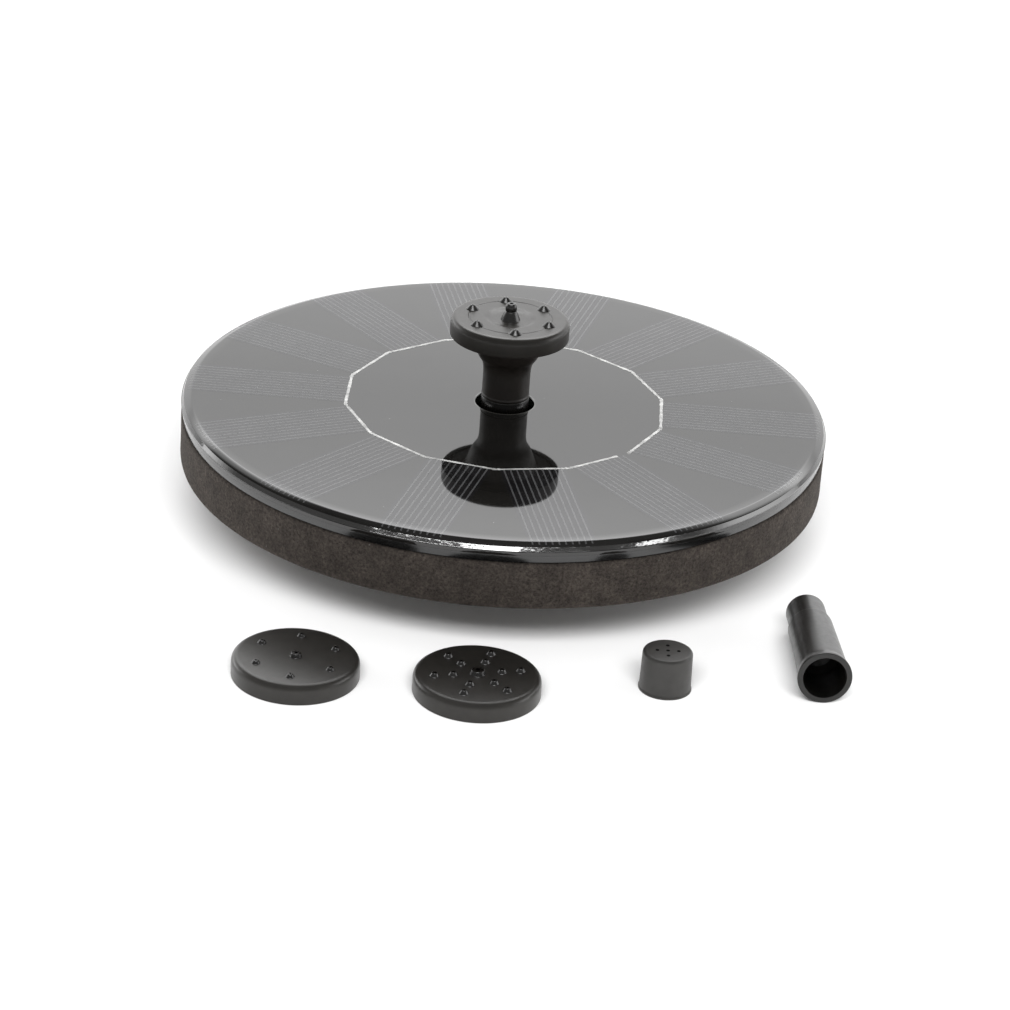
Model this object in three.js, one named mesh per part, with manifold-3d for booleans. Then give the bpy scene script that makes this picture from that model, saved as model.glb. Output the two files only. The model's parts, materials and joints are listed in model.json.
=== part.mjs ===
// Floating solar fountain pump: a round solar float with a small submersible pump under its middle,
// a nozzle stem on the pump's outlet, and the loose spray fittings that go with it.
// Millimetres, +Z up. The origin is the middle of the filter cover's bottom face, which the pump stands on.
import * as THREE from 'three';
import { mergeVertices } from 'three/addons/utils/BufferGeometryUtils.js';
import Module from 'manifold-3d';

const wasm = await Module();
wasm.setup();

// ---------- driving dimensions ----------
const FLOAT_R = 80;                 // the float is 160 mm across
const PANEL_TOP = 30;               // height of the panel's top face
const PANEL_HOLE_R = 6.1;           // hole in the middle of the panel for the outlet
const RESIN = { bottom: 27.4, skirtInner: 78.4, cellInner: 36.6, cellOuter: 77.7, cellRoof: 29.56 };
const RIM_PROFILE = [[FLOAT_R, 28.32], [79.8, 28.37], [79.34, 29.25], [78.43, 29.58], [77.45, 29.82],
  [76.44, 29.96], [75.6, PANEL_TOP]];
const BEAD = [[7.6, PANEL_TOP], [7.48, 30.25], [7.4, 30.5], [7.1, 30.64], [6.6, 30.66]];   // resin round the collar
const BOARD = { bottom: 27.45, top: 29.05, outer: 78.2, inner: 7.6 };
const TRAY = { bottom: 25.5, floorTop: 26.9, ribTop: 27.35, foot: 79.55, outer: 79.85, rimInner: 78.9 };
const TRAY_RIBS = [20, 50];         // rings that the board rests on: their inner radii
const TRAY_RIB_WIDTH = 1.2;
const BOSS = { bottom: 24, inner: 22.5, outer: 33 };
const FOAM = { bottom: 13.5, top: 25.4, inner: 34, outer: 79.9, chamfer: 0.5 };

const CELL_COUNT = 14;
const CELL_WIDTH = 16;
const CELL = { bottom: 29.12, top: 29.3, start: 38.3, end: 77.4 };
const RIBBON = { bottom: 29.34, top: 29.5, outer: 40.3, inner: 39.5, gap: 3.2 };
const RIBBON_ANGLE = 138.9;         // direction of the ribbon's first corner, in degrees
const RIBBON_BREAK = 7;             // the corner where the string of cells starts and ends

const BODY_R = 23.5;                // outer radius of the pump body
const BODY = { bottom: 4.6, mouthTop: 6.4, floorBottom: 11, floorTop: 12.2, ledge: 21, top: 23.9 };
const MOUTH_R = 20.7;
const CAVITY_R = 20.2;
const LID_SEAT_R = 21.4;
const FLANGE = { outer: 32, bottom: 22.2 };
const CAN = { outer: 6.4, inner: 5.4, innerTop: 18.9, outerTop: 19.9, noseR: 3.2, noseTop: 20.9 };
const RISER = { x: 16.6, outer: 3.2, inner: 2.2, top: 21.05 };
const SCREW_CIRCLE_R = 28.2;
const SCREW_HEAD = { r: 2.6, height: 1.7 };
const LEAD_X = -12;                 // the two leads go up here, side by side
const LEAD_SPREAD = 1.1;

const STATOR = { bottom: 13.7, top: 17.7, yokeInner: 11.3, yokeOuter: 13, shoeInner: 6.9, shoeOuter: 8.6 };
const CIRCUIT = { bottom: 19.3, top: 20 };

const SHAFT_R = 1;
const SHAFT_HOLE_R = 1.08;          // running clearance round the shaft
const COLLAR_R = 5.9;               // the outlet's collar, the same width as the stem
const COLLAR_TOP = 32;
const SPIGOT_R = 4.7;               // every fitting pushes over this spigot
const SPIGOT_TOP = 43;
const OUTLET_BORE_R = 3.5;
const SOCKET_R = 5;

const HEAD_R = 14.7;                // the mounted spray head and both loose discs
const HEAD = { bottom: 47.94, top: 52.7, wall: 1.35, roof: 1.9, shoulder: 1.5 };
const DISC = { top: 4.7, wall: 1.35, roof: 1.15, shoulder: 1.5 };
const NIB_CIRCLE_R = 10.2;

const CUP_R = 25.6;                 // filter cover
const CUP = { inner: 23.8, floor: 1.4, top: 11 };

// where the loose fittings lie, in front of the float
const SIX_HOLE_DISC_AT = [-45.04, -92.01];
const TWELVE_HOLE_DISC_AT = [-3.64, -95.13];
const CAP_AT = [39.47, -87.74];
const TUBE_AT = [75.53, -90.37];
const TUBE_YAW = 3.07;              // degrees, about +Z
const TUBE_LENGTH = 35.4;
const TUBE = { lipR: 6.32, lipLength: 0.7, bodyR: 5.3, bodyEnd: 26 };

const ROUND = 54;                   // sides of the large round pieces
const MEDIUM = 36;
const SMALL = 20;

// ---------- shape helpers ----------
const radians = THREE.MathUtils.degToRad;
const polar = (r, degrees) => [r * Math.cos(radians(degrees)), r * Math.sin(radians(degrees))];

/** A closed three.js geometry as a solid that can be joined and cut. */
function solid(geometry) {
  const bare = geometry.clone();
  bare.deleteAttribute('normal');
  bare.deleteAttribute('uv');
  const merged = mergeVertices(bare);
  const index = merged.index.array;
  const triangles = [];
  for (let i = 0; i < index.length; i += 3) {
    const [a, b, c] = [index[i], index[i + 1], index[i + 2]];
    if (a !== b && b !== c && c !== a) triangles.push(a, b, c);
  }
  const vertProperties = new Float32Array(merged.attributes.position.array);
  return new wasm.Manifold(new wasm.Mesh({ numProp: 3, vertProperties, triVerts: new Uint32Array(triangles) }));
}

/** A solid of revolution about Z. The outline is a list of [radius, height], anticlockwise with r to the right. */
function revolve(outline, sides) {
  const onAxis = outline[0][0] === 0 && outline.at(-1)[0] === 0;
  const closed = onAxis ? outline : [...outline, outline[0]];
  const lathe = new THREE.LatheGeometry(closed.map(([r, z]) => new THREE.Vector2(r, z)), sides);
  return solid(lathe.rotateX(Math.PI / 2));
}

function ring(inner, outer, bottom, top, sides = SMALL) {
  return revolve([[inner, bottom], [outer, bottom], [outer, top], [inner, top]], sides);
}

function rod(r, bottom, top, x = 0, y = 0, sides = SMALL, topR = r) {
  const cylinder = new THREE.CylinderGeometry(topR, r, top - bottom, sides);
  return solid(cylinder.rotateX(Math.PI / 2).translate(x, y, (bottom + top) / 2));
}

/** A block from its lowest to its highest corner, turned about Z by an angle in degrees. */
function block([x0, y0, z0], [x1, y1, z1], turn = 0) {
  const box = new THREE.BoxGeometry(x1 - x0, y1 - y0, z1 - z0);
  return solid(box.translate((x0 + x1) / 2, (y0 + y1) / 2, (z0 + z1) / 2).rotateZ(radians(turn)));
}

function prism(points, bottom, top) {
  const shape = new THREE.Shape(points.map(([x, y]) => new THREE.Vector2(x, y)));
  const extruded = new THREE.ExtrudeGeometry(shape, { depth: top - bottom, bevelEnabled: false });
  return solid(extruded.translate(0, 0, bottom));
}

/** Points along an arc about the origin. */
function arc(r, fromDegrees, toDegrees, steps) {
  return Array.from({ length: steps + 1 }, (_, i) => polar(r, fromDegrees + ((toDegrees - fromDegrees) * i) / steps));
}

/** Calls make(angle) for count angles evenly round the circle. */
function around(count, start, make) {
  return Array.from({ length: count }, (_, i) => make(start + (i * 360) / count));
}

const join = (first, ...rest) => rest.flat().reduce((all, next) => all.add(next), first);
const cut = (first, ...rest) => rest.flat().reduce((all, next) => all.subtract(next), first);

function toGeometry(body) {
  const { vertProperties, triVerts } = body.getMesh();
  const geometry = new THREE.BufferGeometry();
  geometry.setAttribute('position', new THREE.BufferAttribute(new Float32Array(vertProperties), 3));
  geometry.setIndex(new THREE.BufferAttribute(new Uint32Array(triVerts), 1));
  geometry.computeVertexNormals();
  return geometry;
}

// ---------- materials ----------
const finish = (color, roughness, metalness = 0) => ({ color, roughness, metalness });
const MATERIALS = {
  foam: finish(0x3a3633, 0.95),
  blackPlastic: finish(0x2b2a28, 0.45),
  resin: finish(0x0c0c0d, 0.05),
  board: finish(0x101311, 0.5),
  cell: finish(0x151a26, 0.25),
  tinnedCopper: finish(0xd8d8d6, 0.3, 1),
  rubber: finish(0x1a1a1a, 0.8),
  steel: finish(0xb5b5b2, 0.35, 1),
  laminations: finish(0x8a8d90, 0.5, 1),
  copper: finish(0xb0643a, 0.4, 1),
  circuit: finish(0x1f5a36, 0.5),
  component: finish(0x222222, 0.4),
  ceramic: finish(0xe8e4da, 0.3),
  impellerPlastic: finish(0xe6e6e2, 0.4),
  magnet: finish(0x3c3c3e, 0.6),
  sponge: finish(0x22262a, 1),
  redWire: finish(0xa01818, 0.5),
  blackWire: finish(0x181818, 0.5),
};

const fountain = new THREE.Group();

function addPiece(name, body, material, parent = fountain) {
  const mesh = new THREE.Mesh(toGeometry(body), new THREE.MeshStandardMaterial(MATERIALS[material]));
  mesh.name = name;
  parent.add(mesh);
  return mesh;
}

// ---------- solar float ----------
function makeFoamRing() {
  const { bottom, top, inner, outer, chamfer } = FOAM;
  return revolve([
    [inner, bottom],
    [outer - chamfer, bottom],
    [outer, bottom + chamfer],
    [outer, top],
    [inner, top],
  ], ROUND);
}

function makePanelTray() {
  const ribs = TRAY_RIBS.toReversed().flatMap((r) => [
    [r + TRAY_RIB_WIDTH, TRAY.floorTop],
    [r + TRAY_RIB_WIDTH, TRAY.ribTop],
    [r, TRAY.ribTop],
    [r, TRAY.floorTop],
  ]);
  const disc = revolve([
    [BOARD.inner, TRAY.bottom],
    [BOSS.inner, TRAY.bottom],
    [BOSS.inner, BOSS.bottom],
    [BOSS.outer, BOSS.bottom],
    [BOSS.outer, TRAY.bottom],
    [TRAY.foot, TRAY.bottom],
    [TRAY.outer, TRAY.ribTop],
    [TRAY.rimInner, TRAY.ribTop],
    [TRAY.rimInner, TRAY.floorTop],
    ...ribs,
    [BOARD.inner, TRAY.floorTop],
  ], ROUND);
  const pilotHoles = screwAngles((angle) => rod(1.35, 20, 28, ...polar(SCREW_CIRCLE_R, angle), 12));
  const leadHole = rod(2.2, 20, 28, LEAD_X, 0, 16);
  return cut(disc, pilotHoles, leadHole);
}

function makePanelBoard() {
  const disc = ring(BOARD.inner, BOARD.outer, BOARD.bottom, BOARD.top, ROUND);
  return cut(disc, [1, -1].map((side) => rod(0.45, 27, 30, LEAD_X, side * LEAD_SPREAD, 8)));
}

/** The clear-coated black top: it holds the board and the cells from above and has a rounded rim. */
function makeResinCover() {
  const underside = BOARD.top + 0.1;
  return revolve([
    [PANEL_HOLE_R, underside],
    [RESIN.cellInner, underside],
    [RESIN.cellInner, RESIN.cellRoof],
    [RESIN.cellOuter, RESIN.cellRoof],
    [RESIN.cellOuter, underside],
    [RESIN.skirtInner, underside],
    [RESIN.skirtInner, RESIN.bottom],
    [TRAY.outer, RESIN.bottom],
    ...RIM_PROFILE,
    ...BEAD,
    [PANEL_HOLE_R, BEAD.at(-1)[1]],
  ], ROUND);
}

/** One cell: a strip that runs out from the ribbon and ends in an arc near the rim. */
function makeSolarCell(angle) {
  const half = CELL_WIDTH / 2;
  const spread = THREE.MathUtils.radToDeg(Math.asin(half / CELL.end));
  const outline = [[CELL.start, -half], ...arc(CELL.end, -spread, spread, 6), [CELL.start, half]];
  const turned = outline.map(([x, y]) => {
    const [r, a] = [Math.hypot(x, y), THREE.MathUtils.radToDeg(Math.atan2(y, x))];
    return polar(r, a + angle);
  });
  return prism(turned, CELL.bottom, CELL.top);
}

/** The tinned ribbon that joins the cells: a polygon with a corner between cells, open at one corner. */
function makeBusRibbon() {
  const pitch = 360 / CELL_COUNT;
  const side = (r, t) => {
    const k = Math.floor(t);
    const [x0, y0] = polar(r, RIBBON_ANGLE + k * pitch);
    const [x1, y1] = polar(r, RIBBON_ANGLE + (k + 1) * pitch);
    return [x0 + (x1 - x0) * (t - k), y0 + (y1 - y0) * (t - k)];
  };
  const gap = RIBBON.gap / (2 * RIBBON.outer * Math.sin(radians(pitch / 2)));
  const last = RIBBON_BREAK + CELL_COUNT - gap;
  const stops = [RIBBON_BREAK, ...Array.from({ length: CELL_COUNT - 1 }, (_, i) => RIBBON_BREAK + 1 + i), last];
  const outline = [...stops.map((t) => side(RIBBON.outer, t)), ...stops.reverse().map((t) => side(RIBBON.inner, t))];
  return prism(outline, RIBBON.bottom, RIBBON.top);
}

// ---------- pump housing ----------
const screwAngles = (make) => around(4, 45, make);

/** The widening channel round the impeller, which ends at the riser. */
function voluteOutline() {
  const spiral = Array.from({ length: 37 }, (_, i) => polar(10.9 + (3.4 * i) / 36, 20 + i * 9));
  return [...spiral, [RISER.x, -RISER.inner], [RISER.x + 1.6, -1.5], [RISER.x + RISER.inner, 0],
    [RISER.x + 1.6, 1.5], [RISER.x, RISER.inner]];
}

function makePumpBody() {
  const shell = revolve([
    [0, BODY.mouthTop],
    [MOUTH_R, BODY.mouthTop],
    [MOUTH_R, BODY.bottom],
    [BODY_R, BODY.bottom],
    [BODY_R, FLANGE.bottom],
    [FLANGE.outer, FLANGE.bottom],
    [FLANGE.outer, BODY.top],
    [LID_SEAT_R, BODY.top],
    [LID_SEAT_R, BODY.ledge],
    [CAVITY_R, BODY.ledge],
    [CAVITY_R, BODY.floorTop],
    [0, BODY.floorTop],
  ], MEDIUM);
  const can = join(rod(CAN.outer, 11.5, CAN.outerTop), rod(CAN.noseR, 19, CAN.noseTop));
  const canHollow = join(rod(CAN.inner, 10.5, CAN.innerTop), rod(1.9, 18.5, 20.2));
  const riser = join(
    rod(RISER.outer, 11.5, RISER.top, RISER.x),
    block([RISER.x + 2.5, -1.2, 11.5], [CAVITY_R + 0.8, 1.2, BODY.ledge]),
  );
  const gussets = around(8, 22.5, (angle) => {
    const web = new THREE.Shape([[BODY_R - 1, 17.4], [BODY_R, 17.4], [29.5, FLANGE.bottom + 0.3],
      [BODY_R - 1, FLANGE.bottom + 0.3]].map(([x, y]) => new THREE.Vector2(x, y)));
    const plate = new THREE.ExtrudeGeometry(web, { depth: 1.2, bevelEnabled: false });
    return solid(plate.translate(0, 0, -0.6).rotateX(Math.PI / 2).rotateZ(radians(angle)));
  });
  const screwHoles = screwAngles((angle) => rod(1.6, 20, 26, ...polar(SCREW_CIRCLE_R, angle), 12));
  const volute = prism(voluteOutline(), 6, BODY.floorBottom);
  const riserBore = rod(RISER.inner, 10, 22, RISER.x);
  return cut(join(shell, can, riser, gussets), canHollow, volute, riserBore, screwHoles);
}

/** The lid of the pump body, with the cross duct from the riser and the outlet pipe in the middle. */
function makeOutletCover() {
  const disc = rod(LID_SEAT_R - 0.3, 21.65, 22.6, 0, 0, MEDIUM);
  const ridge = block([0, -4.6, 22], [RISER.x + 3.4, 4.6, 25.2]);
  const pipe = revolve([
    [0, 22],
    [COLLAR_R, 22],
    [COLLAR_R, COLLAR_TOP],
    [SPIGOT_R, COLLAR_TOP],
    [SPIGOT_R, SPIGOT_TOP - 0.6],
    [SPIGOT_R - 0.5, SPIGOT_TOP],
    [0, SPIGOT_TOP],
  ], MEDIUM);
  const duct = block([0, -3, 22.5], [RISER.x + RISER.inner, 3, 24.3]);
  const riserHole = rod(RISER.inner, 21, 23, RISER.x);
  const leadHole = rod(2.6, 21, 23, LEAD_X);
  const bore = rod(OUTLET_BORE_R, 22.5, 44);
  return cut(join(disc, ridge, pipe), duct, riserHole, leadHole, bore);
}

function makeInletPlate() {
  const disc = ring(4.6, MOUTH_R - 0.3, 4.9, 6.2, MEDIUM);
  const hub = rod(2.5, 4.5, 6.2);
  const arms = around(3, 90, (angle) => block([1.5, -0.7, 4.9], [5, 0.7, 5.9], angle));
  const grips = around(2, 0, (angle) => block([8, -1, 4.4], [16, 1, 5.2], angle));
  return cut(join(disc, hub, arms, grips), rod(1.7, 5.2, 7));
}

/** A rubber cup that holds one end of the shaft, with its blind hole towards the rotor. */
function makeShaftBush(r, bottom, top, holeFrom, holeTo) {
  return cut(rod(r, bottom, top, 0, 0, 16), rod(SHAFT_HOLE_R, holeFrom, holeTo, 0, 0, 16));
}

function makeGrommet() {
  const plug = join(rod(2.5, 21.6, 23, LEAD_X, 0, 16), rod(3.2, 22.65, 23.3, LEAD_X, 0, 16));
  return cut(plug, [1, -1].map((side) => rod(0.85, 21, 24, LEAD_X, side * LEAD_SPREAD, 10)));
}

/** A pan-head screw, driven up from below, with a cross recess in its head. */
function makeScrew([x, y]) {
  const seat = FLANGE.bottom - 0.05;
  const head = rod(SCREW_HEAD.r - 0.5, seat - SCREW_HEAD.height, seat, x, y, 16, SCREW_HEAD.r);
  const shank = rod(1.2, seat - 0.2, 26.6, x, y, 12);
  const slot = seat - SCREW_HEAD.height - 1;
  const cross = join(
    block([x - 1.5, y - 0.3, slot], [x + 1.5, y + 0.3, slot + 1.9]),
    block([x - 0.3, y - 1.5, slot], [x + 0.3, y + 1.5, slot + 1.9]),
  );
  return cut(join(head, shank), cross);
}

// ---------- motor ----------
function makeStatorCore() {
  const yoke = ring(STATOR.yokeInner, STATOR.yokeOuter, STATOR.bottom, STATOR.top, MEDIUM);
  const poles = around(4, 45, (angle) => join(
    block([STATOR.shoeOuter - 0.3, -1.5, STATOR.bottom], [STATOR.yokeInner + 0.5, 1.5, STATOR.top], angle),
    prism([...arc(STATOR.shoeOuter, angle - 33, angle + 33, 8),
      ...arc(STATOR.shoeInner, angle + 33, angle - 33, 8)], STATOR.bottom, STATOR.top),
  ));
  return join(yoke, poles);
}

/** One winding, round the tooth that points at the given angle. */
function makeStatorCoil(angle) {
  const winding = block([8.9, -2.8, 12.6], [10.6, 2.8, 18.8], angle);
  return cut(winding, block([8, -1.6, 13.6], [12, 1.6, 17.8], angle));
}

function makeDriverBoard() {
  return ring(7, 12.9, CIRCUIT.bottom, CIRCUIT.top, 32);
}

/** A component standing on the driver board, size [length, width, height], at a radius and an angle. */
function makeChip([length, width, height], r, angle) {
  const bottom = CIRCUIT.top + 0.05;
  return block([r - width / 2, -length / 2, bottom], [r + width / 2, length / 2, bottom + height], angle);
}

function makeLead(side) {
  const y = side * LEAD_SPREAD;
  const route = new THREE.CatmullRomCurve3([[-11.6, 20.15], [-11.65, 20.8], [-11.9, 21.6], [-12, 24], [-12, 27.35]]
    .map(([x, z]) => new THREE.Vector3(x, y, z)));
  const section = new THREE.Shape(around(8, 0, (angle) => new THREE.Vector2(...polar(0.5, angle))));
  const options = { steps: 14, bevelEnabled: false, extrudePath: route };
  return solid(new THREE.ExtrudeGeometry(section, options));
}

// ---------- rotor ----------
function makeImpeller() {
  const shroud = rod(10, 10, 10.6, 0, 0, 36);
  const hub = rod(3, 6.65, 10.3);
  const sleeve = rod(2.1, 10.3, 18.35);
  const blades = around(6, 0, (angle) => {
    const spine = Array.from({ length: 5 }, (_, i) => [2.4 + 1.8 * i, angle - 7 * i]);
    const [front, back] = [0.5, -0.5].map((offset) => spine.map(([r, a]) => {
      const turn = THREE.MathUtils.radToDeg(offset / r);
      return polar(r, a + turn);
    }));
    return prism([...back, ...front.reverse()], 6.65, 10.2);
  });
  return cut(join(shroud, hub, sleeve, blades), rod(SHAFT_HOLE_R, 6, 19));
}

// ---------- filter ----------
function makeFilterCover() {
  const cup = revolve([
    [0, 0],
    [CUP_R - 1.2, 0],
    [CUP_R, 1.2],
    [CUP_R, CUP.top],
    [CUP.inner, CUP.top],
    [CUP.inner, CUP.floor],
    [0, CUP.floor],
  ], 44);
  const sideSlots = around(22, 0, (angle) => block([20, -1, 2.8], [28, 1, 8.4], angle));
  const floorSlots = around(16, 0, (angle) => block([11, -0.9, -1], [21.5, 0.9, 2], angle));
  return cut(cup, sideSlots, floorSlots);
}

// ---------- nozzle parts ----------
function makeNozzleStem() {
  const bottom = COLLAR_TOP + 0.1;
  return revolve([
    [SOCKET_R, bottom],
    [COLLAR_R, bottom],
    [COLLAR_R, 39.6],
    [6.2, 40.6],
    [6.8, 41.7],
    [7.5, 42.8],
    [8.4, 45.3],
    [9.5, 48.1],
    [13, 48.1],
    [13, 49.5],
    [8.4, 49.5],
    [7, 46.2],
    [6, 44.5],
    [SOCKET_R, 43.6],
  ], MEDIUM);
}

/** A shallow cup, open below, with a rounded shoulder: the shape that all the spray discs share. */
function discShell(bottom, top, wall, roof, shoulder) {
  const rounded = Array.from({ length: 4 }, (_, i) => {
    const t = radians(i * 30);
    return [HEAD_R - shoulder * (1 - Math.cos(t)), top - shoulder * (1 - Math.sin(t))];
  });
  return revolve([
    [0, top - roof],
    [HEAD_R - wall, top - roof],
    [HEAD_R - wall, bottom],
    [HEAD_R, bottom],
    ...rounded,
    [0, top],
  ], MEDIUM);
}

/** A small cone with a spray hole through it and through the roof below. */
function nib(x, y, base, r, topR, height) {
  return {
    add: rod(r, base - 0.3, base + height, x, y, 8, topR),
    take: rod(topR * 0.55, base - 3, base + height + 1, x, y, 6),
  };
}

function withNibs(shell, nibs) {
  return cut(join(shell, nibs.map((one) => one.add)), nibs.map((one) => one.take));
}

function nibRing(count, start, circle, base, ...cone) {
  return around(count, start, (angle) => nib(...polar(circle, angle), base, ...cone));
}

function makeSprayHead() {
  const { bottom, top, wall, roof, shoulder } = HEAD;
  const dish = 0.4;
  const shell = cut(discShell(bottom, top, wall, roof, shoulder), rod(4.6, top - dish, top + 1, 0, 0, 32, 6.4));
  const centre = [nib(0, 0, top - dish, 2.1, 1.5, 1.7), nib(0, 0, top - dish + 1.4, 1.4, 1.1, 2.8)];
  return withNibs(shell, [...nibRing(6, 37, NIB_CIRCLE_R, top, 1.6, 0.45, 1.6), ...centre]);
}

function makeSixHoleDisc() {
  const { top, wall, roof, shoulder } = DISC;
  const nibs = nibRing(6, 26, 9.8, top, 0.9, 0.6, 0.6);
  return withNibs(discShell(0, top, wall, roof, shoulder), [...nibs, nib(0, 0, top, 1.4, 1.2, 1.7)]);
}

function makeTwelveHoleDisc() {
  const { top, wall, roof, shoulder } = DISC;
  const outer = nibRing(6, 13, 10, top, 1, 0.7, 0.9);
  const inner = nibRing(6, 13, 5.65, top, 1, 0.7, 0.9);
  return withNibs(discShell(0, top, wall, roof, shoulder), [...outer, ...inner, nib(0, 0, top, 1.8, 1.4, 1.6)]);
}

function makeSprayCap() {
  const height = 9.42;
  const shell = revolve([
    [0, height - 1.2],
    [SOCKET_R - 0.1, height - 1.2],
    [SOCKET_R, 0],
    [6.15, 0],
    [6.15, 0.45],
    [6, 0.6],
    [5.75, height - 0.35],
    [5.4, height],
    [0, height],
  ], 36);
  const holes = around(4, 0, (angle) => rod(0.45, height - 2, height + 1, ...polar(2.45, angle), 8));
  return cut(shell, holes, rod(0.45, height - 2, height + 1, 0, 0, 8));
}

/** The extension tube about Z, with its wide end at the bottom. */
function makeExtensionTube() {
  return revolve([
    [SOCKET_R, 0],
    [TUBE.lipR, 0],
    [TUBE.lipR, TUBE.lipLength],
    [5.85, 2.6],
    [5.7, 8],
    [TUBE.bodyR, TUBE.bodyEnd],
    [SPIGOT_R, TUBE.bodyEnd + 0.7],
    [SPIGOT_R, TUBE_LENGTH - 0.4],
    [SPIGOT_R - 0.4, TUBE_LENGTH],
    [OUTLET_BORE_R, TUBE_LENGTH],
    [OUTLET_BORE_R, 13],
    [SOCKET_R - 0.1, 11.5],
  ], 36);
}

// ---------- assembly ----------
const cellPitch = 360 / CELL_COUNT;
const numbered = (name, i) => `${name}_${String(i + 1).padStart(2, '0')}`;

addPiece('foam_ring', makeFoamRing(), 'foam');
addPiece('panel_tray', makePanelTray(), 'blackPlastic');
addPiece('panel_board', makePanelBoard(), 'board');
around(CELL_COUNT, RIBBON_ANGLE + cellPitch / 2, (angle) => makeSolarCell(angle))
  .forEach((cell, i) => addPiece(numbered('solar_cell', i), cell, 'cell'));
addPiece('bus_ribbon', makeBusRibbon(), 'tinnedCopper');
addPiece('resin_cover', makeResinCover(), 'resin');

addPiece('pump_body', makePumpBody(), 'blackPlastic');
addPiece('outlet_cover', makeOutletCover(), 'blackPlastic');
addPiece('lid_seal', ring(CAVITY_R + 0.2, LID_SEAT_R - 0.2, BODY.ledge + 0.05, 21.6, MEDIUM), 'rubber');
const riserSeal = new THREE.Group();
riserSeal.position.x = RISER.x;
fountain.add(riserSeal);
addPiece('riser_seal', ring(2.35, 3.1, RISER.top + 0.05, 21.6), 'rubber', riserSeal);
addPiece('inlet_plate', makeInletPlate(), 'blackPlastic');
screwAngles((angle) => polar(SCREW_CIRCLE_R, angle))
  .forEach((place, i) => addPiece(`housing_screw_${i + 1}`, makeScrew(place), 'steel'));

addPiece('stator_core', makeStatorCore(), 'laminations');
around(4, 45, makeStatorCoil).forEach((coil, i) => addPiece(`stator_coil_${i + 1}`, coil, 'copper'));
addPiece('driver_board', makeDriverBoard(), 'circuit');
addPiece('driver_chip', makeChip([4, 3, 1], 10, 125), 'component');
addPiece('smoothing_capacitor', makeChip([2.6, 2.2, 1.3], 10, 235), 'component');
addPiece('reverse_diode', makeChip([3, 1.6, 1.1], 10, 75), 'component');
addPiece('lead_positive', makeLead(1), 'redWire');
addPiece('lead_negative', makeLead(-1), 'blackWire');
addPiece('lead_grommet', makeGrommet(), 'rubber');

addPiece('shaft_bush_lower', makeShaftBush(1.6, 5.25, 6.15, 5.6, 7), 'rubber');
addPiece('shaft_bush_upper', makeShaftBush(1.8, 18.95, 20.1, 18, 19.7), 'rubber');
addPiece('rotor_shaft', rod(SHAFT_R, 5.65, 19.6, 0, 0, 24), 'ceramic');
addPiece('thrust_washer_lower', ring(1.15, 2.2, 6.25, 6.5), 'ceramic');
addPiece('thrust_washer_upper', ring(1.15, 2.1, 18.45, 18.85), 'ceramic');
addPiece('impeller', makeImpeller(), 'impellerPlastic');
addPiece('rotor_magnet', ring(2.2, 4.8, 10.7, 18.2, 32), 'magnet');

addPiece('filter_cover', makeFilterCover(), 'blackPlastic');
addPiece('filter_sponge', rod(22.8, 1.55, 4.1, 0, 0, 36), 'sponge');

addPiece('nozzle_stem', makeNozzleStem(), 'blackPlastic');
addPiece('spray_head', makeSprayHead(), 'blackPlastic');

/** Lays a loose fitting on the surface that the pump stands on. */
function addLoose(name, body, [x, y]) {
  addPiece(name, body, 'blackPlastic').position.set(x, y, 0);
}
addLoose('spray_disc_six', makeSixHoleDisc(), SIX_HOLE_DISC_AT);
addLoose('spray_disc_twelve', makeTwelveHoleDisc(), TWELVE_HOLE_DISC_AT);
addLoose('spray_cap', makeSprayCap(), CAP_AT);

// the tube lies on its wide lip and on the end of its body, so it slopes a little
const slope = Math.asin((TUBE.lipR - TUBE.bodyR) / TUBE.bodyEnd);
const tube = addPiece('extension_tube', makeExtensionTube(), 'blackPlastic');
const tubeHeight = TUBE.lipR * Math.cos(slope) + TUBE.lipLength * Math.sin(slope);
tube.position.set(...TUBE_AT, tubeHeight);
tube.rotation.set(-Math.PI / 2 - slope, 0, radians(TUBE_YAW), 'ZYX');

export default fountain;
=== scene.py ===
"""Looks and light for the floating solar fountain pump: finished pieces and materials on the CAD frame.

Lengths in this file are millimetres unless a name says otherwise; Blender's own are metres.
"""
import json
import math

import bpy
from mathutils import Matrix, Vector


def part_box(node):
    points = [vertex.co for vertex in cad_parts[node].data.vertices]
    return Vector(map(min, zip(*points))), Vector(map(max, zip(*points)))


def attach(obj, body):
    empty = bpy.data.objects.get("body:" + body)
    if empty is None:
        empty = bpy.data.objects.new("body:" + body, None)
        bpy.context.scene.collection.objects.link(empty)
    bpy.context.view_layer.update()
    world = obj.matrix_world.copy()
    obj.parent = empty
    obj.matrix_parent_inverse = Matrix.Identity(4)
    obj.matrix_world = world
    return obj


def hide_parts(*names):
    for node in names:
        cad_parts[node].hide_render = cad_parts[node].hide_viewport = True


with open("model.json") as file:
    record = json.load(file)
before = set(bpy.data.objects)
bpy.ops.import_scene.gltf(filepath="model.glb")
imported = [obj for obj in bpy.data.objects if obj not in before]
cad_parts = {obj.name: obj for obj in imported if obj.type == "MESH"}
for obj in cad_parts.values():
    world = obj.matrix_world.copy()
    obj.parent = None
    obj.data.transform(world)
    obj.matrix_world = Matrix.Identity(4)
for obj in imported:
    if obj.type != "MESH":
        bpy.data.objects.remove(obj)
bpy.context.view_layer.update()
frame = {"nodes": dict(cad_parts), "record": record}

MM = 0.001

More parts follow.
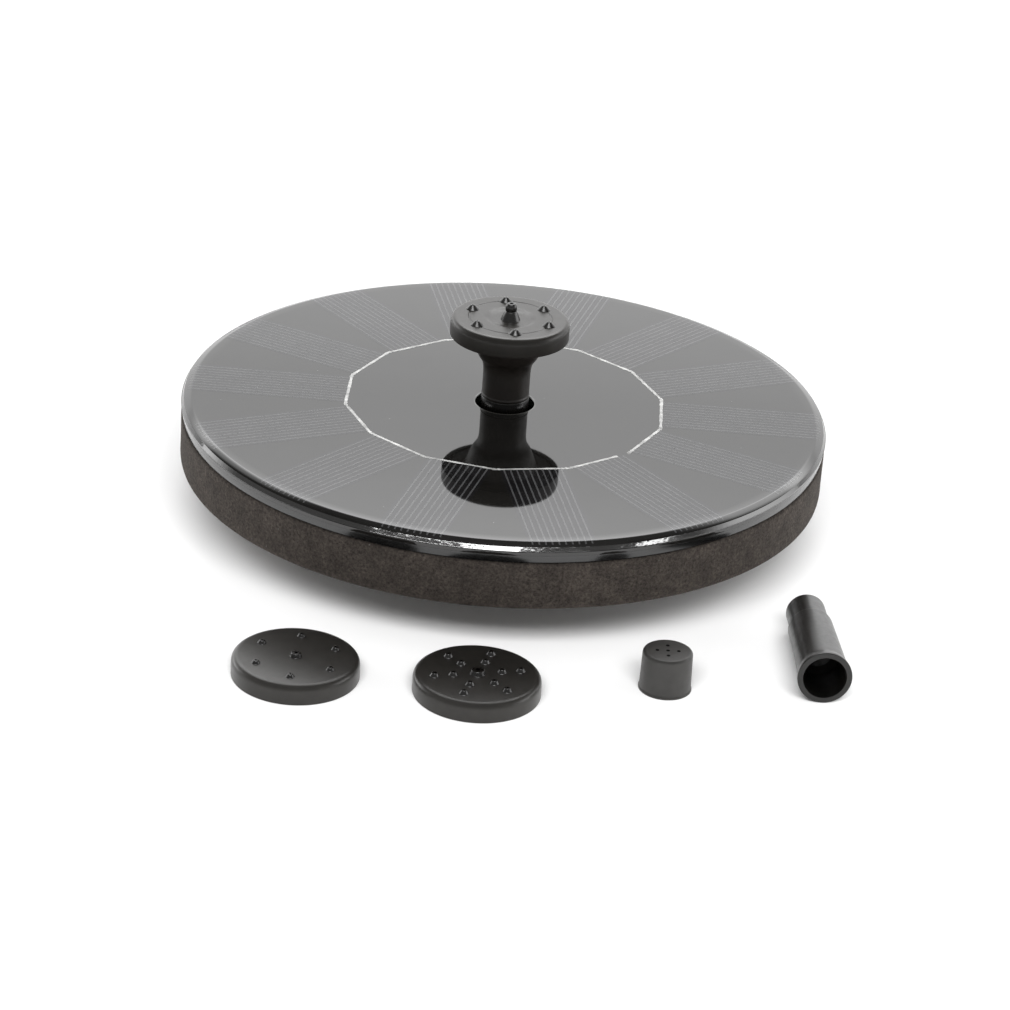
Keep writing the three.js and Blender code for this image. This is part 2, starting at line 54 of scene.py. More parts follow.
# ---------- driving dimensions ----------
# Most are the CAD part's. HOLE_R and RIM are not: the finished cover has a wider hole with no bead round it,
# and its flat top reaches further out before the rim falls away.
FLOAT_R = 80
PANEL_TOP = 30
OUTLET_BORE_R = 3.45
HOLE_R = 7.3
CELL_COUNT = 14
PITCH = 360 / CELL_COUNT
RIBBON_ANGLE = 138.9
RIBBON_BREAK = 7
RIBBON_OUTER = 40.3
RIBBON_INNER = 39.55
RIBBON_GAP = 3.2
CELL_WIDTH = 16
CELL_START = 39.0
CELL_END = 77.7
FINGERS = 10
FINGER_SPACING = 1.55
FINGER_WIDTH = 0.4
FINGER_START = 39.3
FINGER_END = 78.5
FOAM_BOTTOM = 13.5
FOAM_TOP = 25.4
HEAD_R = 14.7
HEAD_BORE_R = 13.35
HEAD_TOP = 52.7
DISC_TOP = 4.7
STEM_R = 5.87
COLLAR_R = 5.93
SPIGOT_R = 4.72
SOCKET_R = 5
TUBE_YAW = 3.07
TUBE_AT = (75.53, -90.37)
TUBE_LIP_R = 6.32
TUBE_END_R = 5.3
TUBE_LIP = 0.7
TUBE_TAPER_END = 26

# the camera, in millimetres and degrees
CAMERA_AT = (-14.62, -777.77, 376.52)
CAMERA_AIM = (1.94, 3.24, 0)
CAMERA_ROLL = 4.04
CAMERA_LENS = 122.19

# the studio dome's brightness at heights above the horizon, in degrees
SWEEP = [
    (0, 1.8), (22, 2.1), (24, 1.86), (25.2, 1.7), (26.4, 1.82), (31, 2.0), (35, 0.1), (60, 0.1), (90, 0.4),
]
BACK_BOX = [(24, 0), (27, 0.9), (33, 3.8), (45, 3.8), (50, 0.8), (53, 0.1)]
LOW_SIDES = [(0, 2.3), (18, 2.5), (23, 0.3), (26, 0)]
FRONT = 0.47
RAMP_UNIT = 10

# the resin's top from the rim inwards, shared by the cover, the cells and their fingers
RIM = [
    (FLOAT_R, 28.32), (79.8, 28.37), (79.34, 29.34), (79.2, 29.41), (78.6, 29.63), (78.0, 29.845),
    (77.75, 29.925), (77.6, 29.965), (77.45, 29.99), (77.25, PANEL_TOP),
]


# ---------- shapes ----------
def polar(r, degrees, z=0.0):
    a = math.radians(degrees)
    return Vector((r * math.cos(a), r * math.sin(a), z))


def eased(corners, steps=5):
    """A profile with rounded corners. A corner is (r, z) or (r, z, where the rounding starts from it)."""
    points = [Vector(c[:2]) for c in corners]
    out = []
    for i, corner in enumerate(corners):
        reach = corner[2] if len(corner) > 2 else 0
        here, before, after = points[i], points[i - 1], points[(i + 1) % len(points)]
        if not reach:
            out.append(here)
            continue
        start = here + (before - here).normalized() * min(reach, (before - here).length * 0.48)
        end = here + (after - here).normalized() * min(reach, (after - here).length * 0.48)
        for k in range(steps + 1):
            t = k / steps
            out.append(start * (1 - t) ** 2 + here * 2 * t * (1 - t) + end * t * t)
    return [(p.x, p.y) for p in out]


class Shape:
    """Vertices and faces in millimetres, gathered into one object."""

    def __init__(self):
        self.verts, self.faces, self.slots = [], [], []

    def add(self, verts, faces, slot=0, place=None):
        start = len(self.verts)
        self.verts += [place @ Vector(v) if place else Vector(v) for v in verts]
        self.faces += [[start + i for i in face] for face in faces]
        self.slots += [slot] * len(faces)

    def revolve(self, profile, sides=128, slot=0, place=None):
        """A solid of revolution about Z. The profile runs anticlockwise, with r to the right and z up."""
        verts, rows = [], []
        for r, z in profile:
            if r < 1e-6:
                rows.append([len(verts)] * sides)
                verts.append((0, 0, z))
            else:
                rows.append(list(range(len(verts), len(verts) + sides)))
                verts += [polar(r, 360 * j / sides, z) for j in range(sides)]
        open_ends = profile[0][0] < 1e-6 and profile[-1][0] < 1e-6
        pairs = list(zip(rows, rows[1:])) + ([] if open_ends else [(rows[-1], rows[0])])
        faces = []
        for low, high in pairs:
            for j in range(sides):
                k = (j + 1) % sides
                face = []
                for v in (low[j], low[k], high[k], high[j]):
                    if v not in face:
                        face.append(v)
                faces.append(face)
        self.add(verts, faces, slot, place)

    def slab(self, rows, depth, slot=0):
        """A thin strip: rows are pairs of points on its top, and it is depth thick."""
        verts = [p for row in rows for p in row]
        verts += [Vector(p) - Vector((0, 0, depth)) for p in verts]
        n = 2 * len(rows)
        faces = []
        for i in range(0, n - 2, 2):
            faces.append([i, i + 2, i + 3, i + 1])
            faces.append([n + i, n + i + 1, n + i + 3, n + i + 2])
            faces.append([i, n + i, n + i + 2, i + 2])
            faces.append([i + 1, i + 3, n + i + 3, n + i + 1])
        faces.append([0, 1, n + 1, n])
        faces.append([n - 2, 2 * n - 2, 2 * n - 1, n - 1])
        self.add(verts, faces, slot)

    def make(self, name, materials, body, slot, *nodes, sharp=38):
        """One object of these shapes. It rides on a body and stands for the CAD nodes."""
        mesh = bpy.data.meshes.new(name)
        mesh.from_pydata([v * MM for v in self.verts], [], self.faces)
        mesh.polygons.foreach_set("material_index", self.slots)
        mesh.validate()
        mesh.shade_smooth()
        mesh.set_sharp_from_angle(angle=math.radians(sharp))
        for one in materials:
            mesh.materials.append(one)
        obj = bpy.data.objects.new(name, mesh)
        bpy.context.scene.collection.objects.link(obj)
        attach(obj, body)
        if nodes:
            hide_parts(*nodes)
        return obj


# ---------- materials ----------
class Nodes:
    """A material's node tree, with its Principled shader and the piece's own coordinates."""

    def __init__(self, name, roughness=0.5, metallic=0.0, ior=1.5, **numbers):
        self.material = bpy.data.materials.new(name)
        self.material.use_nodes = True
        self.tree = self.material.node_tree
        self.shader = self.tree.nodes["Principled BSDF"]
        self.set(self.shader, Roughness=roughness, Metallic=metallic, IOR=ior)
        for key, value in numbers.items():
            self.shader.inputs[key.replace("_", " ")].default_value = value
        self.where = self.tree.nodes.new("ShaderNodeTexCoord").outputs["Object"]

    def set(self, node, **values):
        for key, value in values.items():
            node.inputs[key].default_value = value

    def link(self, source, target):
        self.tree.links.new(source, target)

    def noise(self, size, detail=2.0, rough=0.5):
        """Noise with features about size millimetres across."""
        node = self.tree.nodes.new("ShaderNodeTexNoise")
        self.set(node, Scale=1 / (size * MM), Detail=detail, Roughness=rough)
        self.link(self.where, node.inputs["Vector"])
        return node.outputs["Fac"]

    def pits(self, size):
        """Scattered points about size millimetres apart: how far the nearest is, and a colour of its own."""
        node = self.tree.nodes.new("ShaderNodeTexVoronoi")
        self.set(node, Scale=1 / (size * MM))
        self.link(self.where, node.inputs["Vector"])
        return node

    def ramp(self, source, *stops):
        """A colour ramp: each stop is (position, grey or colour)."""
        node = self.tree.nodes.new("ShaderNodeValToRGB")
        self.link(source, node.inputs["Fac"])
        elements = node.color_ramp.elements
        while len(elements) < len(stops):
            elements.new(0.5)
        for element, (position, value) in zip(elements, stops):
            element.position = position
            colour = value if hasattr(value, "__len__") else (value, value, value)
            element.color = (*colour, 1)
        return node.outputs["Color"]

    def mix(self, a, b, factor, kind="MIX"):
        node = self.tree.nodes.new("ShaderNodeMix")
        node.data_type = "RGBA"
        node.blend_type = kind
        for socket, value in ((node.inputs[0], factor), (node.inputs[6], a), (node.inputs[7], b)):
            if hasattr(value, "is_linked"):
                self.link(value, socket)
            else:
                socket.default_value = value
        return node.outputs[2]

    def base(self, colour):
        self.link(colour, self.shader.inputs["Base Color"])

    def rough(self, value):
        self.link(value, self.shader.inputs["Roughness"])

    def bump(self, height, depth, strength=1.0):
        """Relief of about depth millimetres; calls stack."""
        node = self.tree.nodes.new("ShaderNodeBump")
        self.set(node, Strength=strength, Distance=depth * MM)
        self.link(height, node.inputs["Height"])
        normal = self.shader.inputs["Normal"]
        if normal.is_linked:
            self.link(normal.links[0].from_socket, node.inputs["Normal"])
        self.link(node.outputs["Normal"], normal)


def tinted(colour, factor):
    return tuple(c * factor for c in colour)


def plain(name, colour, roughness, grain=0.4, relief=0.004, spread=0.25, **numbers):
    """A moulded, cast or metal surface: slightly mottled, with a fine grain."""
    m = Nodes(name, roughness, **numbers)
    m.base(m.ramp(m.noise(3, 3), (0.3, tinted(colour, 1 - spread)), (0.7, tinted(colour, 1 + spread))))
    m.rough(m.ramp(m.noise(1.3, 3), (0.3, roughness * 0.88), (0.7, min(1, roughness * 1.12))))
    m.bump(m.noise(grain, 3, 0.6), relief)
    return m.material


def foam_material():
    m = Nodes("foam", 0.95, ior=1.35)
    cells = m.pits(0.45).outputs["Distance"]
    fine = m.ramp(m.noise(0.7, 5, 0.75), (0.32, (0.02, 0.0162, 0.0137)), (0.68, (0.092, 0.077, 0.066)))
    broad = m.ramp(m.noise(5, 3, 0.6), (0.3, 0.78), (0.7, 1.25))
    tone = m.mix(fine, broad, 1.0, "MULTIPLY")
    pores = m.ramp(cells, (0.05, 0.45), (0.35, 1.0))
    specks = m.pits(3.2)
    near = m.ramp(specks.outputs["Distance"], (0.04, 1.0), (0.07, 0.0))
    chosen = m.ramp(specks.outputs["Color"], (0.72, 0.0), (0.74, 0.8))
    body = m.mix(tone, pores, 1.0, "MULTIPLY")
    m.base(m.mix(body, (0.16, 0.15, 0.14, 1), m.mix(near, chosen, 1.0, "MULTIPLY")))
    m.bump(cells, 0.14, 0.8)
    m.bump(m.noise(0.9, 4, 0.7), 0.16, 0.8)
    m.bump(m.noise(6, 3, 0.6), 0.3, 0.5)
    return m.material


def glossy(name, colour, roughness, ior, tint=None, wave=0.0, dust=0.0, ragged=0.0):
    """A clear-coated surface of the panel: nearly a mirror, with a little swell and dust."""
    m = Nodes(name, roughness, ior=ior)
    if tint:
        m.shader.inputs["Specular Tint"].default_value = (*tint, 1)
    mottle = m.ramp(m.noise(6, 2), (0.3, tinted(colour, 0.8)), (0.7, tinted(colour, 1.2)))
    if dust:
        specks = m.pits(4.5)
        near = m.ramp(specks.outputs["Distance"], (0.02, 1.0), (0.035, 0.0))
        chosen = m.ramp(specks.outputs["Color"], (0.6, 0.0), (0.62, 1.0))
        mask = m.mix(near, chosen, 1.0, "MULTIPLY")
        m.base(m.mix(mottle, (dust, dust, dust, 1), mask))
    else:
        m.base(mottle)
    if wave:
        m.bump(m.noise(28, 1), wave)
    if ragged:
        m.bump(m.noise(1.6, 2, 0.6), ragged)
    return m.material


FOAM = foam_material()
RESIN = glossy("resin", (0.012, 0.0113, 0.0103), 0.035, 1.5, wave=0.02, dust=0.35)
RESIN_EDGE = glossy("resin_edge", (0.006, 0.0055, 0.005), 0.06, 1.7, ragged=0.015)
CELL = glossy("cell", (0.0125, 0.0121, 0.0127), 0.035, 1.51, tint=(0.97, 0.97, 1.0), wave=0.02, dust=0.35)
FINGER = glossy("cell_finger", (0.1, 0.1, 0.103), 0.04, 1.5, wave=0.02)
RIBBON = plain("tinned_ribbon", (0.5, 0.5, 0.49), 0.4, 1.2, 0.05, 0.5, metallic=0.2)
PLASTIC = plain("black_plastic", (0.024, 0.0217, 0.019), 0.32, 0.25, 0.006, 0.15)
FITTING = plain("fitting_plastic", (0.036, 0.0336, 0.0303), 0.32, 0.25, 0.0025, 0.1, ior=1.4)
CAP = plain("cap_plastic", (0.047, 0.0447, 0.0415), 0.44, 0.25, 0.005, 0.1)
TUBE = plain("tube_plastic", (0.013, 0.0122, 0.011), 0.34, 0.25, 0.005, 0.1)
HEAD = plain("head_plastic", (0.021, 0.019, 0.0166), 0.32, 0.25, 0.003, 0.1, ior=1.32)
# near-black and barely reflecting: painted shade for the inside of the spray holes
HOLE_SHADE = plain("spray_hole_shade", (0.001, 0.001, 0.001), 0.8, 0.25, 0.002, 0.15, ior=1.05)
# much darker than the head's and discs' own plastic: on their nibs it is painted shade; the outlet's collar
# and spigot use it as well
DARK_AND_SHADE = plain("dark_plastic_and_shade", (0.0035, 0.003, 0.0026), 0.28, 0.25, 0.004, 0.15)
STEM = plain("stem_plastic", (0.0155, 0.0125, 0.0102), 0.42, 0.3, 0.005, 0.15)
TRAY = plain("tray_plastic", (0.003, 0.003, 0.003), 0.17, 2.5, 0.01, 0.2, ior=1.75)
# the CAD nodes that no finished piece stands for keep their own shape, with these
NODE_MATERIALS = {
    "board": plain("board", (0.012, 0.02, 0.014), 0.5, 0.6, 0.01),
    "rubber": plain("rubber", (0.012, 0.012, 0.012), 0.75, 0.2, 0.01),
    "steel": plain("steel", (0.55, 0.55, 0.54), 0.3, 0.15, 0.004, 0.1, metallic=1.0),
    "laminations": plain("laminations", (0.28, 0.29, 0.3), 0.5, 0.35, 0.02, 0.2, metallic=1.0),
    "copper": plain("copper", (0.55, 0.2, 0.09), 0.35, 0.3, 0.05, 0.2, metallic=1.0),
    "circuit": plain("circuit", (0.02, 0.13, 0.05), 0.4, 0.8, 0.008),
    "component": plain("component", (0.02, 0.02, 0.02), 0.4, 0.15, 0.004),
    "red_wire": plain("red_wire", (0.45, 0.02, 0.02), 0.45, 0.4, 0.006),
    "black_wire": plain("black_wire", (0.012, 0.012, 0.012), 0.45, 0.4, 0.006),
    "ceramic": plain("ceramic", (0.75, 0.72, 0.66), 0.25, 0.3, 0.002, 0.06),
    "impeller_plastic": plain("impeller_plastic", (0.75, 0.75, 0.72), 0.4, 0.3, 0.004, 0.06),
    "magnet": plain("magnet", (0.05, 0.05, 0.052), 0.6, 0.2, 0.01),
    "sponge": plain("sponge", (0.014, 0.017, 0.02), 0.95, 0.5, 0.25, 0.4),
    "black_plastic": PLASTIC,
    "foam": FOAM,
    "resin": RESIN,
    "cell": CELL,
    "tinned_copper": RIBBON,
}
for row in frame["record"]["subparts"]:
    node = frame["nodes"][row["node"]]
    node.data.materials.clear()
    node.data.materials.append(NODE_MATERIALS[row["material_slot"]])


# ---------- solar float ----------
def resin_cover():
    s = Shape()
    s.revolve(eased([
        (8.0, 29.15), (78.4, 29.15), (78.6, 29.0), RIM[2], *RIM[3:],
        *[(r, 30) for r in (75, 60, 40, 20, 10, 8.0)],
    ]), 288)
    s.make("resin_top", [RESIN], "float", "resin", "resin_cover", sharp=17)
    lip = Shape()
    lip.revolve(eased([(HOLE_R, 29.15), (7.99, 29.15), (7.99, 30), (HOLE_R, 30, 0.7)], 6), 144)
    lip.make("hole_lip", [RESIN], "float", "resin", "resin_cover")
    edge = Shape()
    edge.revolve(eased([
        (78.6, 28.99), (78.4, 27.4), (79.86, 27.4), (*RIM[0], 0.1), (*RIM[1], 0.04),
        (79.77, 28.43), (79.37, 29.28), RIM[2],
    ]), 576)
    edge.make("resin_edge", [RESIN_EDGE], "float", "resin", "resin_cover", sharp=17)


def surface_z(r):
    """Height of the resin's top at a radius."""
    for (r1, z1), (r0, z0) in zip(RIM, RIM[1:]):
        if r >= r0:
            return z0 + (z1 - z0) * (r - r0) / (r1 - r0)
    return PANEL_TOP


def strip_rows(y0, y1, start, end_r, turn, proud):
    """Rows across a strip along a cell, from near the ribbon to a radius."""
    rows = [[on_cell(start, y, turn, proud) for y in (y0, y1)]]
    for end in [50, 60, 70, 75] + [r for r, z in reversed(RIM) if r < end_r] + [end_r]:
        rows.append([on_cell(math.sqrt(end ** 2 - y ** 2), y, turn, proud) for y in (y0, y1)])
    return rows


def on_cell(x, y, turn, proud):
    """A point just over the resin, by its place along and across a cell."""
    r = math.hypot(x, y)
    return polar(r, turn + math.degrees(math.atan2(y, x)), surface_z(r) + proud)


def solar_cell(k):
    turn = RIBBON_ANGLE + (k + 0.5) * PITCH
    s = Shape()
    half = CELL_WIDTH / 2
    across = [-half + CELL_WIDTH * i / 8 for i in range(9)]
    for y0, y1 in zip(across, across[1:]):
        s.slab(strip_rows(y1, y0, CELL_START, CELL_END, turn, 0.006), 0.02)
    for i in range(FINGERS):
        y = (i - (FINGERS - 1) / 2) * FINGER_SPACING
        half_line = FINGER_WIDTH / 2
        line = strip_rows(y + half_line, y - half_line, FINGER_START, FINGER_END, turn, 0.012)
        s.slab(line, 0.02, slot=1)
    s.make(f"cell_{k + 1:02d}", [CELL, FINGER], "float", "cell", f"solar_cell_{k + 1:02d}")


def bus_ribbon():
    """A flat ribbon from corner to corner, with a blob of solder at each, open at one corner."""
    s = Shape()
    gap = RIBBON_GAP / (2 * RIBBON_OUTER * math.sin(math.radians(PITCH / 2)))
    for k in range(CELL_COUNT):
        last = 1 - gap if k == RIBBON_BREAK - 1 else 1
        rows = []
        for i in range(13):
            t = last * i / 12
            uneven = 0.09 * math.sin(5.1 * i + 1.7 * k) * math.sin(2.3 * i)
            row = []
            for r in (RIBBON_INNER + uneven, RIBBON_OUTER - uneven):
                a = polar(r, RIBBON_ANGLE + k * PITCH)
                b = polar(r, RIBBON_ANGLE + (k + 1) * PITCH)
                row.append((a + (b - a) * t) + Vector((0, 0, PANEL_TOP + 0.02)))
            rows.append(row)
        s.slab(rows, 0.03)
        for t in (0.04, last - 0.035):
            a = polar(39.9, RIBBON_ANGLE + k * PITCH)
            b = polar(39.9, RIBBON_ANGLE + (k + 1) * PITCH)
            blob = a + (b - a) * t + Vector((0, 0, PANEL_TOP))
            s.revolve([(0, -0.02), (0.52, -0.02), (0.5, 0.03), (0.35, 0.06), (0, 0.07)], 16,
                      place=Matrix.Translation(blob))
    s.make("ribbon", [RIBBON], "float", "tinned_copper", "bus_ribbon")


def foam_float():
    s = Shape()
    s.revolve(eased([
        (34, FOAM_BOTTOM, 0.4), (79.5, FOAM_BOTTOM, 0.9), (79.9, 14.4, 0.8), (79.85, 19, 2),
        (79.9, 25.0, 0.4), (79.6, FOAM_TOP, 0.2), (34, FOAM_TOP, 0.2),
    ]), 256)
    obj = s.make("foam_float", [FOAM], "float", "foam", "foam_ring", sharp=60)


def panel_base():
    """The tray under the panel, with the boss that the pump hangs from."""
    s = Shape()
    s.revolve(eased([
        (7.6, 25.5, 0.2), (22.5, 25.5, 0.2), (22.5, 24, 0.2), (33, 24, 0.3), (33, 25.5, 0.2),
        (79.55, 25.5, 0.2), (79.85, 27.38, 0.03), (78.9, 27.38), (78.9, 26.9), (7.6, 26.9),
    ]), 256)
    s.make("tray", [TRAY], "float", "black_plastic", "panel_tray")


# ---------- nozzle and loose fittings ----------
def nib(s, x, y, z, r, top, height):
    """A small cone on a flared foot, with a near-black plug in its tip that is painted shade for the spray
    hole.
    """
    at = Matrix.Translation((x, y, z))
    s.revolve(eased([
        (0, -0.3), (r * 1.06, -0.3), (r * 1.04, 0.0), (r * 0.95, height * 0.08, 0.1), (top, height, 0.2),
        (top * 0.4, height, 0.05), (0, height),
    ], 4), 32, place=at)
    # the spray hole is not cut: a near-black plug at the tip is painted shade for it
    bottom, mouth = height - 0.1, height + 0.01
    s.revolve([(0, bottom), (top * 0.36, bottom), (top * 0.34, mouth), (0, mouth)], 16, slot=1, place=at)


def nib_ring(s, x, y, z, ring):
    """Nibs round a circle: how many, the first one's angle, the circle's radius, then one nib's sizes."""
    count, start, circle, *cone = ring
    for i in range(count):
        p = polar(circle, start + i * 360 / count)
        nib(s, x + p.x, y + p.y, z, *cone)


def spray_head():
    s = Shape()
    s.revolve(eased([
        (0, 50.8), (HEAD_BORE_R, 50.8, 0.4), (HEAD_BORE_R, 47.94, 0.15), (HEAD_R, 47.94, 0.25),
        (HEAD_R, HEAD_TOP, 1.75), (10.5, HEAD_TOP, 0.1), (10.22, HEAD_TOP - 0.14, 0.12),
        (9.94, HEAD_TOP, 0.1), (6.4, HEAD_TOP, 0.5), (4.7, HEAD_TOP - 0.5, 0.9), (0, HEAD_TOP - 0.5),
    ], 8), 192)
    s.make("head", [HEAD], "head", "black_plastic", "spray_head")
    # the nibs use the darker plastic rather than the head's: painted shade on their sides
    nibs = Shape()
    nibs.revolve(eased([
        (0, 52.1), (2.5, 52.1), (2.4, 52.25, 0.1), (1.55, 54.2, 0.5), (1.3, 54.5, 0.15), (1.42, 54.75, 0.15),
        (1.4, 55.8, 0.4), (1.0, 56.4, 0.2), (0, 56.4),
    ], 5), 48)
    nibs.revolve([(0, 56.3), (0.5, 56.3), (0.47, 56.42), (0, 56.42)], 20, slot=1)
    nib_ring(nibs, 0, 0, HEAD_TOP, (6, 37, 10.22, 1.62, 0.5, 1.1))
    nibs.make("head_nibs", [DARK_AND_SHADE, HOLE_SHADE], "head", "black_plastic", "spray_head")


def outlet():
    """The outlet's collar and spigot, over the CAD cover's own."""
    s = Shape()
    s.revolve(eased([
        (OUTLET_BORE_R, 26), (COLLAR_R, 26), (COLLAR_R, 32.0, 0.35), (SPIGOT_R, 32.0, 0.05),
        (SPIGOT_R, 42.8, 0.3), (OUTLET_BORE_R, 42.95, 0.2),
    ]), 96)
    s.make("outlet", [DARK_AND_SHADE], "float", "black_plastic")


def nozzle_stem():
    s = Shape()
    s.revolve(eased([
        (SOCKET_R, 32.1), (5.97, 32.1, 0.2), (5.97, 32.5, 0.2), (STEM_R, 32.8, 0.15), (STEM_R, 39.4, 1.5),
        (6.3, 41.2, 1.0), (7.5, 42.8, 1.2), (9.4, 48.1, 0.3), (13, 48.1, 0.15), (13, 49.5, 0.15),
        (8.4, 49.5, 0.3), (7, 46.2, 0.5), (6, 44.5, 0.5), (SOCKET_R, 43.6, 0.4),
    ], 6), 128)
    s.make("stem", [STEM], "stem", "black_plastic", "nozzle_stem")


def middle(node):
    """Where a loose fitting's middle lies on the floor."""
    lo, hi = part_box(node)
    return (lo.x + hi.x) / 2 / MM, (lo.y + hi.y) / 2 / MM


def loose_disc(name, node, body, rings, centre):
    x, y = middle(node)
    s = Shape()
    s.revolve(eased([
        (0, 3.5), (HEAD_BORE_R, 3.5, 0.3), (HEAD_BORE_R, 0, 0.15), (HEAD_R, 0, 0.25),
        (HEAD_R, DISC_TOP, 1.75), (0, DISC_TOP),
    ], 8), 192, place=Matrix.Translation((x, y, 0)))
    s.make(name, [FITTING], body, "black_plastic", node)
    # the nibs use the darker plastic rather than the disc's: painted shade on their sides
    nibs = Shape()
    for ring in rings:
        nib_ring(nibs, x, y, DISC_TOP, ring)
    nib(nibs, x, y, DISC_TOP, *centre)
    nibs.make(name + "_nibs", [DARK_AND_SHADE, HOLE_SHADE], body, "black_plastic", node)


def spray_cap():
    x, y = middle("spray_cap")
    s = Shape()
    s.revolve(eased([
        (0, 8.22), (4.9, 8.22, 0.3), (SOCKET_R, 0, 0.2), (6.15, 0, 0.12), (6.15, 0.45, 0.15),
        (5.98, 0.65, 0.2), (5.76, 9.62, 0.8), (0, 9.62),
    ], 6), 96, place=Matrix.Translation((x, y, 0)))
    # the holes are not cut: near-black plugs at the top are painted shade for their insides
    for hole in [Vector((0, 0, 0))] + [polar(2.45, 90 * i) for i in range(4)]:
        s.revolve([(0, 9.3), (0.45, 9.3), (0.43, 9.63), (0, 9.63)], 20, slot=1,
                  place=Matrix.Translation((x + hole.x, y + hole.y, 0)))
    s.make("cap", [CAP, HOLE_SHADE], "cap", "black_plastic", "spray_cap")


def extension_tube():
    """It lies on its lip and on the far end of its taper, so its axis slopes a little."""
    slope = math.asin((TUBE_LIP_R - TUBE_END_R) / TUBE_TAPER_END)
    height = TUBE_LIP_R * math.cos(slope) + TUBE_LIP * math.sin(slope)
    place = (Matrix.Translation((*TUBE_AT, height)) @ Matrix.Rotation(math.radians(TUBE_YAW), 4, "Z")
             @ Matrix.Rotation(-math.pi / 2 - slope, 4, "X"))
    s = Shape()
    s.revolve(eased([
        (SOCKET_R, 0, 0.15), (TUBE_LIP_R, 0, 0.2), (TUBE_LIP_R, TUBE_LIP, 0.25), (5.85, 2.6, 0.8),
        (5.7, 8, 1), (TUBE_END_R, TUBE_TAPER_END, 0.2), (4.7, 26.7, 0.25), (4.7, 35.0, 0.2),
        (4.3, 35.4, 0.15), (3.5, 35.4, 0.15), (3.5, 13, 0.3), (4.9, 11.5, 0.3),
    ]), 96, place=place)
    s.make("tube", [TUBE], "tube", "black_plastic", "extension_tube")


resin_cover()
for k in range(CELL_COUNT):
    solar_cell(k)
bus_ribbon()
foam_float()
panel_base()
spray_head()
outlet()
nozzle_stem()
loose_disc("disc_six", "spray_disc_six", "six_hole_disc", [(6, 26, 9.8, 1.0, 0.6, 0.7)],
           (1.35, 1.1, 0.9))
loose_disc("disc_twelve", "spray_disc_twelve", "twelve_hole_disc",
           [(6, 13, 10, 1.1, 0.6, 0.85), (6, 13, 5.65, 1.1, 0.6, 0.85)], (1.9, 1.5, 1.1))
spray_cap()
extension_tube()


# ---------- floor, light and camera ----------
def make_floor():
    mesh = bpy.data.meshes.new("floor")
    size = 4.0
    corners = [(-size, -size, 0), (size, -size, 0), (size, size, 0), (-size, size, 0)]
    mesh.from_pydata(corners, [], [(0, 1, 2, 3)])
    obj = bpy.data.objects.new("floor", mesh)
    obj.location.z = -0.00002
    bpy.context.scene.collection.objects.link(obj)
    m = Nodes("floor", 0.9)
    m.base(m.ramp(m.noise(200, 2), (0.3, 0.82), (0.7, 0.84)))
    mesh.materials.append(m.material)


def make_world():
    """A studio dome, by direction: bright low behind the object, dark overhead and towards the camera."""
    world = bpy.data.worlds.new("studio")
    bpy.context.scene.world = world
    world.use_nodes = True
    tree = world.node_tree
    nodes, links = tree.nodes, tree.links
    direction = nodes.new("ShaderNodeTexCoord").outputs["Generated"]
    split = nodes.new("ShaderNodeSeparateXYZ")
    links.new(direction, split.inputs[0])

    def math_node(kind, *values):
        node = nodes.new("ShaderNodeMath")
        node.operation = kind
        for socket, value in zip(node.inputs, values):
            if hasattr(value, "is_linked"):
                links.new(value, socket)
            else:
                socket.default_value = value
        return node.outputs[0]

    def by_elevation(stops):
        """Brightness against elevation in degrees."""
        ramp = nodes.new("ShaderNodeValToRGB")
        links.new(elevation, ramp.inputs[0])
        elements = ramp.color_ramp.elements
        while len(elements) < len(stops):
            elements.new(0.5)
        for element, (degrees, value) in zip(elements, stops):
            element.position = (degrees + 90) / 180
            grey = value / RAMP_UNIT
            element.color = (grey, grey, grey, 1)
        return math_node("MULTIPLY", ramp.outputs[0], RAMP_UNIT)

    def step(value, start, end):
        """Rises smoothly from 0 at start to 1 at end."""
        node = nodes.new("ShaderNodeMapRange")
        node.interpolation_type = "SMOOTHSTEP"
        limits = (start, end, 0, 1) if start < end else (end, start, 1, 0)
        for key, number in zip(("From Min", "From Max", "To Min", "To Max"), limits):
            node.inputs[key].default_value = number
        links.new(value, node.inputs["Value"])
        return node.outputs[0]

    rise = math_node("ARCSINE", split.outputs[2])
    elevation = math_node("ADD", math_node("DIVIDE", rise, math.pi), 0.5)
    azimuth = math_node("ARCTAN2", split.outputs[0], split.outputs[1])
    # the pale sweep behind the object and at its sides, and a soft box over it at the back
    sweep = by_elevation(SWEEP)
    box = by_elevation(BACK_BOX)
    off_box = math_node("ABSOLUTE", math_node("SUBTRACT", azimuth, math.radians(4)))
    box_lit = math_node("MULTIPLY", box, step(off_box, math.radians(38), math.radians(24)))
    off_back = math_node("ABSOLUTE", math_node("SUBTRACT", azimuth, math.radians(15)))
    sides = step(off_back, math.radians(35), math.radians(70))
    low_sides = math_node("MULTIPLY", by_elevation(LOW_SIDES), sides)
    sweep_lit = math_node("MULTIPLY", math_node("ADD", sweep, low_sides),
                          step(off_back, math.radians(95), math.radians(75)))
    front = math_node("MULTIPLY", FRONT, step(off_back, math.radians(75), math.radians(95)))
    total = math_node("ADD", math_node("ADD", sweep_lit, box_lit), front)
    background = nodes["Background"]
    background.inputs[0].default_value = (1, 1, 1, 1)
    links.new(total, background.inputs[1])


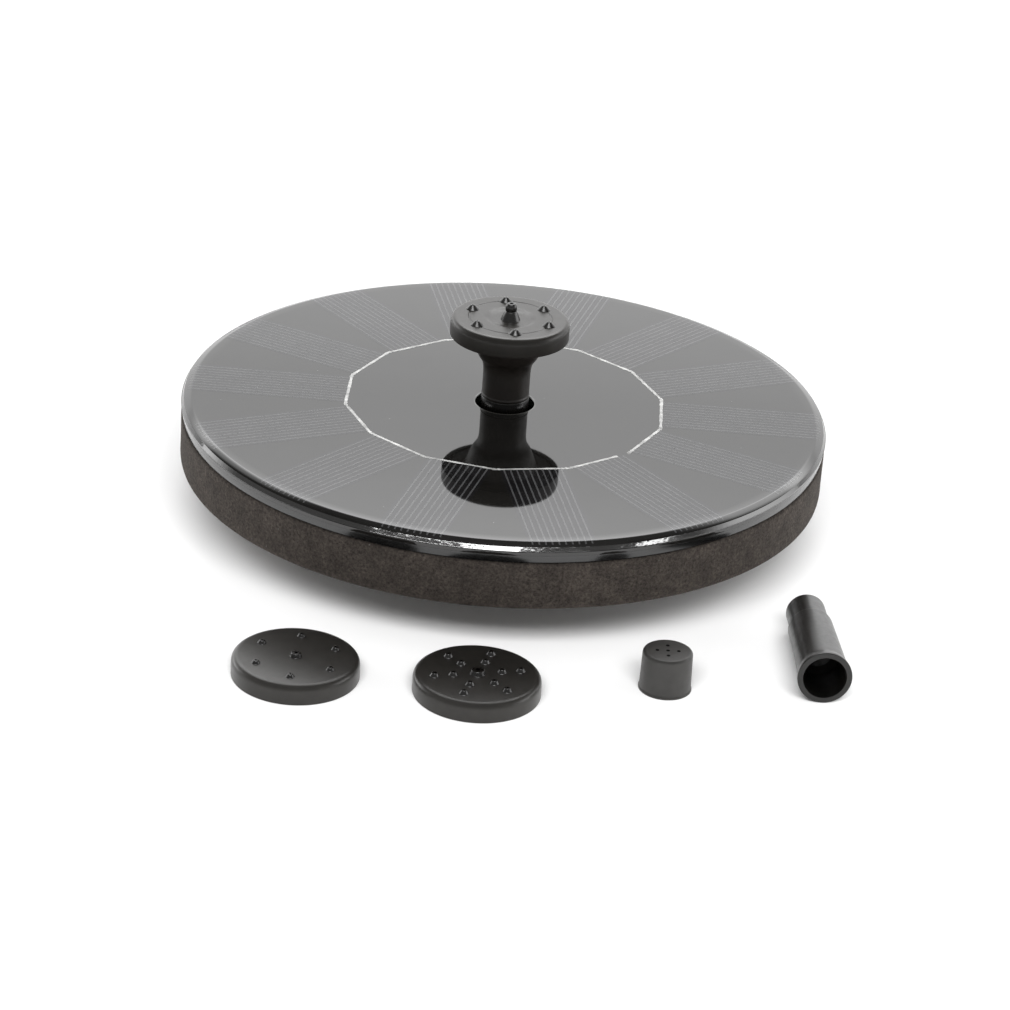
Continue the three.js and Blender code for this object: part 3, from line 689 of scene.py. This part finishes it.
def soft_box(name, azimuth, elevation, distance, width, height, radiance, lights):
    """A rectangular light, turned to the object. Its azimuth runs from the front (-Y) towards +X.

    It lights only the pieces named, so that each lamp's reflection can be set for itself.
    """
    data = bpy.data.lights.new(name, "AREA")
    data.shape = "RECTANGLE"
    data.size, data.size_y = width, height
    data.energy = radiance * math.pi * width * height
    obj = bpy.data.objects.new(name, data)
    bpy.context.scene.collection.objects.link(obj)
    flat = distance * math.cos(math.radians(elevation))
    obj.location = polar(flat, azimuth - 90, distance * math.sin(math.radians(elevation)))
    obj.rotation_euler = (-obj.location).to_track_quat("-Z", "Y").to_euler()
    obj.visible_camera = False
    receivers = bpy.data.collections.new(name + "_lights")
    for piece in lights:
        receivers.objects.link(bpy.data.objects[piece])
    obj.light_linking.receiver_collection = receivers


def make_lights():
    soft_box("floor_box", 0, 45, 1.6, 1.4, 0.5, 15, ["floor"])
    discs = ["head", "disc_six", "disc_twelve"]
    nibs = [name + "_nibs" for name in discs]
    soft_box("rim_box", -18, 27, 1.2, 1.02, 0.085, 26, ["resin_edge"])
    soft_box("rim_strip", 18, 26, 1.2, 0.5, 0.03, 18, ["resin_edge"])
    soft_box("side_strip", 52, 20, 1.2, 0.95, 0.03, 16, ["resin_edge"])
    soft_box("left_box", -85, 30, 1.0, 0.6, 0.5, 22, ["hole_lip"])
    soft_box("right_box", 85, 30, 1.0, 0.6, 0.5, 22, ["hole_lip"])
    soft_box("top_box", 0, 68, 1.0, 0.5, 0.35, 12, nibs)
    soft_box("head_box", 180, 52, 1.0, 0.8, 0.3, 9, ["head"])
    soft_box("shoulder_box", 180, 62, 1.0, 0.8, 0.3, 3, ["disc_six", "disc_twelve", "cap"])


def make_camera():
    camera = bpy.data.cameras.new("camera")
    camera.lens = CAMERA_LENS
    camera.sensor_width = 36
    camera.clip_end = 20
    obj = bpy.data.objects.new("camera", camera)
    bpy.context.scene.collection.objects.link(obj)
    obj.location = Vector(CAMERA_AT) * MM
    aim = Vector(CAMERA_AIM) * MM
    level = (aim - obj.location).to_track_quat("-Z", "Y").to_matrix()
    obj.rotation_euler = (level @ Matrix.Rotation(math.radians(CAMERA_ROLL), 3, "Z")).to_euler()
    bpy.context.scene.camera = obj


make_floor()
make_world()
make_lights()
make_camera()
view = bpy.context.scene.view_settings
view.view_transform = "Standard"
view.look = "None"
